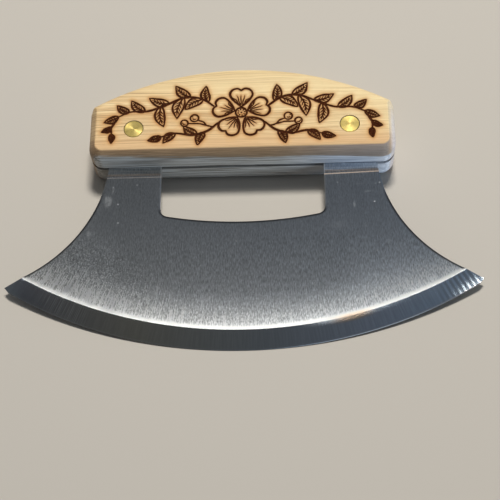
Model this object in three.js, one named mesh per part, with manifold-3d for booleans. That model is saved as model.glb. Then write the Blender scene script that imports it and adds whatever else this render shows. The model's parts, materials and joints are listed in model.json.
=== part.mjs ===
// Ulu knife: a curved steel blade whose two tangs are riveted into a slotted wooden handle.
// The knife lies on a level surface as it does on a worktop: on the lower edge of its handle and on
// the lowest point of its cutting edge. +Z is up, and the origin is the middle of its footprint.

import * as THREE from 'three';
import { mergeVertices } from 'three/addons/utils/BufferGeometryUtils.js';
import Module from 'manifold-3d';

const wasm = await Module();
wasm.setup();

// Driving dimensions in millimetres, in the knife's own directions: X along the handle, Y from the
// cutting edge towards the top of the handle, Z through the blade. Y is zero on the handle's bottom
// face, and Z is zero in the middle of the blade.

// Blade
const bladeThickness = 1.2;
const bladeSpan = 152.4;
const edgeDepth = 66.1;
const edgeRadius = 142.8;
const edgeLand = 0.12;
const bevelWidth = 6.85;
const bevelRadius = 139.7;
const tipGrind = 1.8;
const tipChamfer = 1.5;
const tipCorner = 6.2;
const tipCornerDrop = 0.9;
const sideRunout = 3.6;

// Finger opening in the blade
const openingWidth = 54.0;
const openingDepth = 21.2;
const openingFloorRadius = 127.7;
const openingCornerRadius = 2.8;

// Tangs
const tangInset = 6.2;
const tangAboveRivet = 5.1;
const tangCornerRadius = 2.5;

// Handle
const handleLength = 101.6;
const handleHeight = 33.7;
const handleEndHeight = 19.4;
const handleThickness = 17.2;
const handleRoundover = 2.5;
const handleBottomCornerRadius = 4.8;
const handleTopCornerRadius = 2.6;

// Rivets
const rivetHeight = 10.2;
const rivetHeadDiameter = 6.35;
const rivetHeadThickness = 1.4;
const rivetHeadChamfer = 0.15;
const rivetTubeDiameter = 4.0;
const rivetPostDiameter = 2.4;

// Fits and fineness
const fitClearance = 0.15;
const endClearance = 0.4;
const cutOverrun = 0.5;
const facetSag = 0.02;

// Sizes that follow from the driving dimensions.
const halfThickness = handleThickness / 2;
const tangOuter = handleLength / 2 - tangInset;
const tangInner = openingWidth / 2;
const tangTop = rivetHeight + tangAboveRivet;
const rivetSide = (tangOuter + tangInner) / 2;
const slotWidth = bladeThickness + 2 * fitClearance;
const slotDepth = tangTop + endClearance;
const shankHoleRadius = rivetTubeDiameter / 2 + fitClearance;

// Number of facets that keeps a round stretch within the facet sag of the true curve.
function facetCount(radius, sweep) {
  const step = 2 * Math.acos(1 - facetSag / radius);
  return Math.ceil(Math.abs(sweep) / step);
}

function circleFacets(radius) {
  return 4 * facetCount(radius, Math.PI / 2);
}

// Points along an arc, both ends included. A negative sweep runs clockwise.
function arc(centreX, centreY, radius, from, to) {
  const count = facetCount(radius, to - from);
  const points = [];
  for (let i = 0; i <= count; i += 1) {
    const angle = THREE.MathUtils.lerp(from, to, i / count);
    const x = centreX + radius * Math.cos(angle);
    const y = centreY + radius * Math.sin(angle);
    points.push(new THREE.Vector2(x, y));
  }
  return points;
}

// Closed outline from its right half, which runs from the centre line back to the centre line.
function mirroredOutline(rightHalf) {
  const inner = rightHalf.slice(1, -1).reverse();
  const leftHalf = inner.map((point) => new THREE.Vector2(-point.x, point.y));
  return rightHalf.concat(leftHalf);
}

// Solids for joining and cutting, and geometries back from them.
function solidOf(geometry) {
  const bare = geometry.clone();
  bare.deleteAttribute('normal');
  bare.deleteAttribute('uv');
  const merged = mergeVertices(bare);
  return new wasm.Manifold(new wasm.Mesh({
    numProp: 3,
    vertProperties: merged.attributes.position.array,
    triVerts: Uint32Array.from(merged.index.array),
  }));
}

function geometryOf(solid) {
  const mesh = solid.getMesh();
  const geometry = new THREE.BufferGeometry();
  geometry.setAttribute('position', new THREE.BufferAttribute(mesh.vertProperties, mesh.numProp));
  geometry.setIndex(new THREE.BufferAttribute(mesh.triVerts, 1));
  geometry.computeVertexNormals();
  return geometry;
}

// Solid turned about Z from a profile of [radius, height] pairs.
function turned(profile, segments) {
  const points = profile.map(([radius, height]) => new THREE.Vector2(radius, height));
  return new THREE.LatheGeometry(points, segments).rotateX(Math.PI / 2);
}

function rivetHoleCutter(side, radius, length) {
  const bore = new THREE.CylinderGeometry(radius, radius, length, circleFacets(radius));
  bore.rotateX(Math.PI / 2);
  bore.translate(side * rivetSide, rivetHeight, 0);
  return solidOf(bore);
}

// Blade

function bladeOutline() {
  const halfSpan = bladeSpan / 2;
  const edgeCentre = edgeRadius - edgeDepth;
  const edgeStart = -Math.PI / 2;
  const edgeEnd = edgeStart + Math.asin((halfSpan - tipChamfer) / edgeRadius);
  const tipY = edgeCentre - Math.sqrt(edgeRadius ** 2 - halfSpan ** 2) + tipGrind;

  // The hollow side runs from near the tip up to the tang, and meets the tang's straight edge
  // smoothly. A straight corner is ground off between its lower end and the tip.
  const sideRun = halfSpan - tangOuter;
  const sideRise = sideRunout - tipY;
  const sideRadius = (sideRun ** 2 + sideRise ** 2) / (2 * sideRun);
  const sideCentre = tangOuter + sideRadius;
  const sideReach = (sideCentre - halfSpan + tipCorner) / sideRadius;
  const sideAngle = Math.PI + Math.acos(sideReach);
  const tip = new THREE.Vector2(halfSpan, tipY - tipCornerDrop);

  // The opening's floor is an arc, with a fillet up to each tang.
  const floorCentre = openingFloorRadius - openingDepth;
  const filletX = tangInner - openingCornerRadius;
  const filletReach = openingFloorRadius - openingCornerRadius;
  const filletY = floorCentre - Math.sqrt(filletReach ** 2 - filletX ** 2);
  const filletAngle = Math.atan2(filletY - floorCentre, filletX);

  const cornerY = tangTop - tangCornerRadius;
  const outerCornerX = tangOuter - tangCornerRadius;
  const innerCornerX = tangInner + tangCornerRadius;

  return mirroredOutline([
    ...arc(0, edgeCentre, edgeRadius, edgeStart, edgeEnd),
    tip,
    ...arc(sideCentre, sideRunout, sideRadius, sideAngle, Math.PI),
    ...arc(outerCornerX, cornerY, tangCornerRadius, 0, Math.PI / 2),
    ...arc(innerCornerX, cornerY, tangCornerRadius, Math.PI / 2, Math.PI),
    ...arc(filletX, filletY, openingCornerRadius, 0, filletAngle),
    ...arc(0, floorCentre, openingFloorRadius, filletAngle, edgeStart).slice(1),
  ]);
}

// Ring with a conical face that takes the steel off one side between the bevel line and the edge.
function bevelCutter(face) {
  const slope = (bladeThickness - edgeLand) / 2 / bevelWidth;
  const top = bladeThickness / 2 + cutOverrun;
  const inside = bevelRadius - cutOverrun / slope;
  const outside = bevelRadius + bevelWidth + cutOverrun;
  const low = edgeLand / 2 - cutOverrun * slope;
  const section = [[inside, top], [outside, low], [outside, top], [inside, top]];
  const profile = section.map(([radius, height]) => [radius, face * height]);
  if (face < 0) {
    profile.reverse();
  }
  const ring = turned(profile, circleFacets(bevelRadius));
  return solidOf(ring.translate(0, bevelRadius + bevelWidth - edgeDepth, 0));
}

function bladeGeometry() {
  const blank = new THREE.ExtrudeGeometry(new THREE.Shape(bladeOutline()), {
    depth: bladeThickness,
    bevelEnabled: false,
  });
  blank.translate(0, 0, -bladeThickness / 2);
  const holeLength = bladeThickness + 2 * cutOverrun;
  return geometryOf(solidOf(blank)
    .subtract(bevelCutter(1))
    .subtract(bevelCutter(-1))
    .subtract(rivetHoleCutter(-1, shankHoleRadius, holeLength))
    .subtract(rivetHoleCutter(1, shankHoleRadius, holeLength)));
}

// Handle

function handleOutline() {
  const halfLength = handleLength / 2;
  const crown = handleHeight - handleEndHeight;
  const topRadius = (halfLength ** 2 + crown ** 2) / (2 * crown);
  const topCentre = handleHeight - topRadius;
  const topCornerX = halfLength - handleTopCornerRadius;
  const topReach = topRadius - handleTopCornerRadius;
  const topCornerY = topCentre + Math.sqrt(topReach ** 2 - topCornerX ** 2);
  const topAngle = Math.atan2(topCornerY - topCentre, topCornerX);
  const bottomRadius = handleBottomCornerRadius;
  return mirroredOutline([
    new THREE.Vector2(0, 0),
    ...arc(halfLength - bottomRadius, bottomRadius, bottomRadius, -Math.PI / 2, 0),
    ...arc(topCornerX, topCornerY, handleTopCornerRadius, 0, topAngle),
    ...arc(0, topCentre, topRadius, topAngle, Math.PI / 2).slice(1),
  ]);
}

function slotCutter() {
  const length = handleLength + 2 * cutOverrun;
  const slot = new THREE.BoxGeometry(length, slotDepth + cutOverrun, slotWidth);
  slot.translate(0, (slotDepth - cutOverrun) / 2, 0);
  return solidOf(slot);
}

// Pocket for a rivet head, sunk into the front or the back of the handle.
function headPocketCutter(side, face) {
  const depth = rivetHeadThickness + fitClearance;
  const radius = rivetHeadDiameter / 2 + fitClearance;
  const cutter = rivetHoleCutter(side, radius, depth + cutOverrun);
  return cutter.translate(0, 0, face * (halfThickness - (depth - cutOverrun) / 2));
}

function handleGeometry() {
  const grip = new THREE.ExtrudeGeometry(new THREE.Shape(handleOutline()), {
    depth: handleThickness - 2 * handleRoundover,
    bevelThickness: handleRoundover,
    bevelSize: handleRoundover,
    bevelOffset: -handleRoundover,
    bevelSegments: facetCount(handleRoundover, Math.PI / 2),
  });
  grip.translate(0, 0, handleRoundover - halfThickness);
  let solid = solidOf(grip).subtract(slotCutter());
  for (const side of [-1, 1]) {
    solid = solid
      .subtract(rivetHoleCutter(side, shankHoleRadius, handleThickness))
      .subtract(headPocketCutter(side, 1))
      .subtract(headPocketCutter(side, -1));
  }
  return geometryOf(solid);
}

// Rivets: a headed tube from the front, and a headed post driven into it from the back.

const headRadius = rivetHeadDiameter / 2;
const headRim = headRadius - rivetHeadChamfer;
const headUnderside = halfThickness - rivetHeadThickness;

function rivetTubeGeometry() {
  const boreRadius = rivetPostDiameter / 2 + fitClearance;
  const tubeRadius = rivetTubeDiameter / 2;
  const tubeEnd = endClearance - headUnderside;
  return turned([
    [0, headUnderside],
    [boreRadius, headUnderside],
    [boreRadius, tubeEnd],
    [tubeRadius, tubeEnd],
    [tubeRadius, headUnderside],
    [headRadius, headUnderside],
    [headRadius, halfThickness - rivetHeadChamfer],
    [headRim, halfThickness],
    [0, halfThickness],
  ], circleFacets(headRadius));
}

function rivetPostGeometry() {
  const postRadius = rivetPostDiameter / 2;
  const postEnd = headUnderside - endClearance;
  return turned([
    [0, -halfThickness],
    [headRim, -halfThickness],
    [headRadius, rivetHeadChamfer - halfThickness],
    [headRadius, -headUnderside],
    [postRadius, -headUnderside],
    [postRadius, postEnd],
    [0, postEnd],
  ], circleFacets(headRadius));
}

const steel = { color: 0x8d9094, roughness: 0.32, metalness: 1.0 };
const wood = { color: 0xe0c397, roughness: 0.62, metalness: 0.0 };
const brass = { color: 0xd8c868, roughness: 0.28, metalness: 1.0 };

function piece(name, geometry, finish) {
  const mesh = new THREE.Mesh(geometry, new THREE.MeshStandardMaterial(finish));
  mesh.name = name;
  return mesh;
}

function rivet(label, side) {
  const halves = new THREE.Group();
  halves.add(piece(`rivet_${label}_tube`, rivetTubeGeometry(), brass));
  halves.add(piece(`rivet_${label}_post`, rivetPostGeometry(), brass));
  halves.position.set(side * rivetSide, rivetHeight, 0);
  return halves;
}

// Angle at which the knife leans on the handle's rounded lower edge and the cutting edge.
function restTilt() {
  const run = edgeDepth + handleRoundover;
  const drop = halfThickness - handleRoundover - edgeLand / 2;
  return Math.atan2(drop, run) + Math.asin(handleRoundover / Math.hypot(run, drop));
}

const knife = new THREE.Group();
knife.add(piece('blade', bladeGeometry(), steel));
knife.add(piece('handle', handleGeometry(), wood));
knife.add(rivet('left', -1));
knife.add(rivet('right', 1));
knife.rotation.x = restTilt();

const ulu = new THREE.Group();
ulu.add(knife);
const footprint = new THREE.Box3().setFromObject(ulu, true);
const middle = footprint.getCenter(new THREE.Vector3());
knife.position.set(-middle.x, -middle.y, -footprint.min.z);

export default ulu;
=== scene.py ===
import json
import math
import random
from functools import reduce

import bmesh
import bpy
import numpy as np
from mathutils import Matrix, Vector
from mathutils.geometry import delaunay_2d_cdt


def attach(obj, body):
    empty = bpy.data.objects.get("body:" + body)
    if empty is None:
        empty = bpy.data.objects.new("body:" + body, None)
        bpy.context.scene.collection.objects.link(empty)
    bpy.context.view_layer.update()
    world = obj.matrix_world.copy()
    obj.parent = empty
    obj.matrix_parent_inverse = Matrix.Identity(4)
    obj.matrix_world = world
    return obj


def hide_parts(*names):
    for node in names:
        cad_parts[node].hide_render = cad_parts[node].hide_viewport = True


# Looks of the ulu knife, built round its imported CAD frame. Lengths are millimetres in the knife's
# own directions, as in the part's source: X along the handle, Y from the cutting edge towards the
# top of the handle, Z through the blade, with Y zero on the handle's bottom face and Z zero in the
# middle of the blade. Meshes are turned into the frame's metres as they are made.

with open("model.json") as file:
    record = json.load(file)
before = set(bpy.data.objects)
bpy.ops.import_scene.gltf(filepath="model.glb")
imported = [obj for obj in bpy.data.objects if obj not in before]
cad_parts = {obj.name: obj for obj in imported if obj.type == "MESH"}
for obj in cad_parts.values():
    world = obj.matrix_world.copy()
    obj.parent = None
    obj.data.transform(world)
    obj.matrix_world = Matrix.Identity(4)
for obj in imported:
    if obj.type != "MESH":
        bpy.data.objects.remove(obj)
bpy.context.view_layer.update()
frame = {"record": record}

MM = 0.001
SAME_PLACE = 1e-6

# Blade
BLADE_HALF = 0.6
BLADE_SPAN = 152.4
EDGE_DEPTH = 66.1
EDGE_RADIUS = 142.8
EDGE_LAND = 0.12
BEVEL_WIDTH = 6.85
BEVEL_RADIUS = 139.7
TIP_GRIND = 1.8
TIP_CHAMFER = 1.5
TIP_CORNER = 6.2
TIP_CORNER_DROP = 0.9
SIDE_RUNOUT = 3.6
OPENING_WIDTH = 54.0
OPENING_DEPTH = 21.2
OPENING_FLOOR_RADIUS = 127.7
OPENING_CORNER_RADIUS = 2.8
TANG_INSET = 6.2
TANG_ABOVE_RIVET = 5.1
TANG_CORNER_RADIUS = 2.5

# Handle
HANDLE_LENGTH = 101.6
HANDLE_HEIGHT = 33.7
HANDLE_END_HEIGHT = 19.4
HANDLE_HALF = 8.6
ROUNDOVER = 2.5
BOTTOM_CORNER_RADIUS = 4.8
TOP_CORNER_RADIUS = 2.6

# Rivets
RIVET_HEIGHT = 10.2
HEAD_RADIUS = 3.175
HEAD_THICKNESS = 1.4
HEAD_CHAMFER = 0.15
TUBE_RADIUS = 2.0
POST_RADIUS = 1.2
FIT_CLEARANCE = 0.15
END_CLEARANCE = 0.4

TANG_OUTER = HANDLE_LENGTH / 2 - TANG_INSET
TANG_INNER = OPENING_WIDTH / 2
TANG_TOP = RIVET_HEIGHT + TANG_ABOVE_RIVET
RIVET_SIDE = (TANG_OUTER + TANG_INNER) / 2
SLOT_HALF = BLADE_HALF + FIT_CLEARANCE
SLOT_DEPTH = TANG_TOP + END_CLEARANCE
SHANK_HOLE_RADIUS = TUBE_RADIUS + FIT_CLEARANCE
POCKET_RADIUS = HEAD_RADIUS + FIT_CLEARANCE
POCKET_FLOOR = HANDLE_HALF - HEAD_THICKNESS - FIT_CLEARANCE
EDGE_CENTRE = EDGE_RADIUS - EDGE_DEPTH
BEVEL_CENTRE = BEVEL_RADIUS + BEVEL_WIDTH - EDGE_DEPTH

# Where the knife's own directions lie in the frame, from the mount on the handle's front face.
MOUNT_HEIGHT = 16.5
mount = next(m for m in frame["record"]["mounts"] if m["name"] == "handle_front_face")
tilt = math.atan2(-mount["axis"][1], mount["axis"][2])
turn = Matrix.Rotation(tilt, 3, "X")
origin = Vector(mount["pos_m"]) - turn @ Vector((0, MOUNT_HEIGHT, HANDLE_HALF)) * MM


def to_frame(points):
    """Points in the frame's metres."""
    rotation = np.array(turn)
    return np.asarray(points, float) @ rotation.T * MM + np.array(origin)


# Plane geometry

def arc(centre_x, centre_y, radius, start, end, step):
    """Points along an arc, both ends included, no further apart than the step."""
    count = max(2, math.ceil(abs(end - start) * radius / step))
    angles = np.linspace(start, end, count + 1)
    return np.column_stack([centre_x + radius * np.cos(angles), centre_y + radius * np.sin(angles)])


def path(step, *parts):
    """One chain through arcs and corner points, with straight runs of points between them."""
    chain = np.atleast_2d(parts[0]).astype(float)
    for part in map(np.atleast_2d, parts[1:]):
        gap = math.dist(chain[-1], part[0])
        if gap > SAME_PLACE:
            run = np.linspace(chain[-1], part[0], math.ceil(gap / step) + 1)
            chain = np.concatenate([chain, run[1:]])
        chain = np.concatenate([chain, part[1:]])
    return chain


def mirrored_loop(right_half):
    """Closed loop from its right half, which runs from the centre line back to the centre line."""
    left_half = right_half[1:-1][::-1] * (-1, 1)
    return np.concatenate([right_half, left_half])


def loop_normals(loop):
    """Outward normal at each point of a loop that runs anticlockwise."""
    ahead = np.roll(loop, -1, axis=0) - loop
    ahead /= np.linalg.norm(ahead, axis=1)[:, None]
    along = ahead + np.roll(ahead, 1, axis=0)
    along /= np.linalg.norm(along, axis=1)[:, None]
    return np.column_stack([along[:, 1], -along[:, 0]])


def segment_distances(points, starts, ends):
    """Distance from each point to each segment, and how far along the segment the nearest spot is."""
    run = ends - starts
    length_squared = np.maximum((run ** 2).sum(axis=1), 1e-12)
    offset = points[:, None, :] - starts[None]
    along = np.clip((offset * run).sum(axis=2) / length_squared, 0, 1)
    gap = offset - along[..., None] * run
    return np.hypot(gap[..., 0], gap[..., 1]), along


def distance_to_chain(points, chain, chunk=4000):
    starts, ends = chain[:-1], chain[1:]
    parts = [segment_distances(points[i:i + chunk], starts, ends)[0].min(axis=1)
             for i in range(0, len(points), chunk)]
    return np.concatenate(parts) if parts else np.zeros(0)


def closed(loop):
    return np.concatenate([loop, loop[:1]])


def inside_loop(points, loop):
    x, y = points[:, 0, None], points[:, 1, None]
    x0, y0 = loop[:, 0], loop[:, 1]
    x1, y1 = np.roll(x0, -1), np.roll(y0, -1)
    with np.errstate(divide="ignore", invalid="ignore"):
        crossing = x0 + (y - y0) / (y1 - y0) * (x1 - x0)
    hits = ((y0 > y) != (y1 > y)) & (x < crossing)
    return hits.sum(axis=1) % 2 == 1


def hexagon_grid(low, high, step):
    """Points in staggered rows over a rectangle."""
    rise = step * math.sqrt(3) / 2
    rows = np.arange(low[1], high[1] + rise, rise)
    points = []
    for index, y in enumerate(rows):
        x = np.arange(low[0] + (index % 2) * step / 2, high[0] + step, step)
        points.append(np.column_stack([x, np.full(len(x), y)]))
    return np.concatenate(points)


def circle(centre_x, centre_y, radius, count=64):
    angles = np.arange(count) * 2 * math.pi / count
    return np.column_stack([centre_x + radius * np.cos(angles), centre_y + radius * np.sin(angles)])


def fill(loop, holes=(), chains=(), loose=None):
    """Triangles inside a loop and outside round holes, through all the points given.

    Returns the points in the plane and the triangles."""
    points, edges = [], []
    for ring in [loop, *holes]:
        first = len(points)
        points.extend(map(tuple, ring))
        edges.extend((first + i, first + (i + 1) % len(ring)) for i in range(len(ring)))
    for chain in chains:
        first = len(points)
        points.extend(map(tuple, chain))
        edges.extend((first + i, first + i + 1) for i in range(len(chain) - 1))
    if loose is not None:
        points.extend(map(tuple, loose))
    vectors = [Vector(p) for p in points]
    made = delaunay_2d_cdt(vectors, edges, [], 1, 1e-6, False)
    flat = np.array([tuple(v) for v in made[0]])
    triangles = np.array([tuple(f) for f in made[2]])
    middles = flat[triangles].mean(axis=1)
    keep = inside_loop(middles, np.asarray(loop))
    for hole in holes:
        centre = hole.mean(axis=0)
        radius = np.hypot(*(hole[0] - centre))
        keep &= np.hypot(*(middles - centre).T) > radius * 0.999
    return flat, triangles[keep]


# Meshes

def add_object(name, data):
    made = bpy.data.objects.new(name, data)
    bpy.context.scene.collection.objects.link(made)
    return made


class Shell:
    """Faces gathered patch by patch, then welded into one closed mesh."""

    def __init__(self):
        self.points = []
        self.faces = []

    def add(self, points, faces):
        first = sum(map(len, self.points))
        self.points.append(np.asarray(points, float))
        self.faces.extend(tuple(first + i for i in face) for face in faces)

    def strip(self, ring, other, keep=None):
        """Quads between two rings of the same length, for the spans that are kept."""
        count = len(ring)
        spans = [i for i in range(count) if keep is None or keep[i]]
        faces = [(i, (i + 1) % count, count + (i + 1) % count, count + i) for i in spans]
        self.add(np.concatenate([ring, other]), faces)

    def build(self, name, material, smooth_angle=32):
        mesh = bpy.data.meshes.new(name)
        points = to_frame(np.concatenate(self.points))
        mesh.from_pydata([tuple(p) for p in points], [], self.faces)
        work = bmesh.new()
        work.from_mesh(mesh)
        bmesh.ops.remove_doubles(work, verts=work.verts, dist=2e-6)
        bmesh.ops.dissolve_degenerate(work, edges=work.edges, dist=1e-7)
        bmesh.ops.recalc_face_normals(work, faces=work.faces)
        work.to_mesh(mesh)
        work.free()
        mesh.polygons.foreach_set("use_smooth", [True] * len(mesh.polygons))
        mesh.set_sharp_from_angle(angle=math.radians(smooth_angle))
        mesh.materials.append(material)
        return add_object(name, mesh)


def lift(points, height):
    """Points of the plane at a height, or at a height each."""
    return np.column_stack([points, np.broadcast_to(height, len(points))])


def knife_points(mesh):
    """The vertices of a finished mesh, back in the knife's own directions."""
    flat = np.empty(len(mesh.vertices) * 3)
    mesh.vertices.foreach_get("co", flat)
    return (flat.reshape(-1, 3) - np.array(origin)) @ np.array(turn) / MM


def add_attributes(piece, **attributes):
    """Values at the piece's points, for its material to read."""
    for name, values in attributes.items():
        layer = piece.data.attributes.new(name, "FLOAT", "POINT")
        layer.data.foreach_set("value", values.astype(np.float32))


def smoothstep(low, high, value):
    t = np.clip((value - low) / (high - low), 0, 1)
    return t * t * (3 - 2 * t)


# Node graphs

class Graph:
    """Node graph of a material or a world, written as nested calls that return sockets."""

    def __init__(self, owner):
        owner.use_nodes = True
        self.owner = owner
        self.tree = owner.node_tree
        self.tree.nodes.clear()

    def node(self, kind, inputs=None, **settings):
        made = self.tree.nodes.new(kind)
        for key, value in settings.items():
            setattr(made, key, value)
        for key, value in (inputs or {}).items():
            self.feed(made.inputs[key], value)
        return made

    def feed(self, socket, value):
        if isinstance(value, bpy.types.NodeSocket):
            self.tree.links.new(value, socket)
        else:
            socket.default_value = value

    def math(self, operation, *values, clamp=False):
        inputs = dict(enumerate(values))
        return self.node("ShaderNodeMath", inputs, operation=operation, use_clamp=clamp).outputs[0]

    def times(self, *values):
        return reduce(lambda one, other: self.math("MULTIPLY", one, other), values)

    def plus(self, *values):
        return reduce(lambda one, other: self.math("ADD", one, other), values)

    def minus(self, value, other):
        return self.math("SUBTRACT", value, other)

    def away(self, value, place):
        """How far a value lies from a place, on either side."""
        return self.math("ABSOLUTE", self.minus(value, place))

    def hypot(self, x, y):
        return self.math("SQRT", self.plus(self.times(x, x), self.times(y, y)))

    def vector(self, operation, *values, output="Vector"):
        inputs = dict(enumerate(values))
        return self.node("ShaderNodeVectorMath", inputs, operation=operation).outputs[output]

    def turned(self, vector, angle):
        """A vector turned about the knife's long axis."""
        return self.node("ShaderNodeVectorRotate", {"Vector": vector, "Angle": angle},
                         rotation_type="X_AXIS").outputs[0]

    def knife_millimetres(self):
        """Coordinates in the knife's own directions, in millimetres."""
        place = self.node("ShaderNodeTexCoord").outputs["Object"]
        turned = self.turned(self.vector("SUBTRACT", place, tuple(origin)), -tilt)
        scaled = self.node("ShaderNodeVectorMath", {0: turned, "Scale": 1 / MM}, operation="SCALE")
        return scaled.outputs[0]

    def split(self, vector):
        return self.node("ShaderNodeSeparateXYZ", {0: vector}).outputs

    def combine(self, x, y, z):
        return self.node("ShaderNodeCombineXYZ", {0: x, 1: y, 2: z}).outputs[0]

    def noise(self, vector, lengths, detail=2.0, rough=0.5, shift=0.0):
        """Noise whose features have about the lengths given, in millimetres."""
        scale = tuple(1 / length for length in lengths)
        place = self.node("ShaderNodeMapping", {"Vector": vector, "Scale": scale,
                                                "Location": (shift, shift, shift)}).outputs[0]
        made = self.node("ShaderNodeTexNoise", {"Vector": place, "Scale": 1.0, "Detail": detail,
                                                "Roughness": rough})
        return made.outputs[0]

    def line_noise(self, value, length, detail=2.0, rough=0.5, shift=0.0):
        """Noise along one value only."""
        place = self.plus(self.math("DIVIDE", value, length), shift)
        made = self.node("ShaderNodeTexNoise", {"W": place, "Scale": 1.0, "Detail": detail,
                                                "Roughness": rough}, noise_dimensions="1D")
        return made.outputs[0]

    def remap(self, value, low, high, to_low=0.0, to_high=1.0, kind="LINEAR"):
        inputs = {0: value, 1: low, 2: high, 3: to_low, 4: to_high}
        return self.node("ShaderNodeMapRange", inputs, interpolation_type=kind).outputs[0]

    def ease(self, value, low, high, to_low=0.0, to_high=1.0):
        """A remap that starts and ends softly."""
        return self.remap(value, low, high, to_low, to_high, "SMOOTHSTEP")

    def ramp(self, value, *stops):
        made = self.node("ShaderNodeValToRGB", {0: value})
        elements = made.color_ramp.elements
        while len(elements) < len(stops):
            elements.new(0.5)
        for element, (place, colour) in zip(elements, stops):
            element.position = place
            element.color = (*colour, 1)
        return made.outputs[0]

    def mix(self, factor, first, second, blend="MIX"):
        made = self.node("ShaderNodeMix", {0: factor}, data_type="RGBA", blend_type=blend)
        for socket, colour in ((made.inputs[6], first), (made.inputs[7], second)):
            self.feed(socket, (*colour, 1) if isinstance(colour, tuple) else colour)
        return made.outputs[2]

    def over(self, base, colour, *shares):
        """A colour laid over a base, by the product of the shares."""
        return self.mix(self.times(*shares), base, colour)

    def tint(self, base, colour):
        return self.mix(1.0, base, colour, "MULTIPLY")

    def attribute(self, name):
        return self.node("ShaderNodeAttribute", attribute_name=name).outputs["Fac"]

    def bump(self, height, distance, strength):
        inputs = {"Strength": strength, "Distance": distance * MM, "Height": height}
        return self.node("ShaderNodeBump", inputs).outputs[0]

    def finish(self, **inputs):
        shader = self.node("ShaderNodeBsdfPrincipled",
                           {key.replace("_", " "): value for key, value in inputs.items()})
        self.node("ShaderNodeOutputMaterial", {0: shader.outputs[0]})
        return self.owner


def material_graph(name):
    return Graph(bpy.data.materials.new(name))


def srgb(red, green, blue):
    """Linear colour from the 0 to 255 values that a picture shows."""
    def linear(value):
        value /= 255
        return value / 12.92 if value <= 0.04045 else ((value + 0.055) / 1.055) ** 2.4
    return linear(red), linear(green), linear(blue)


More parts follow.
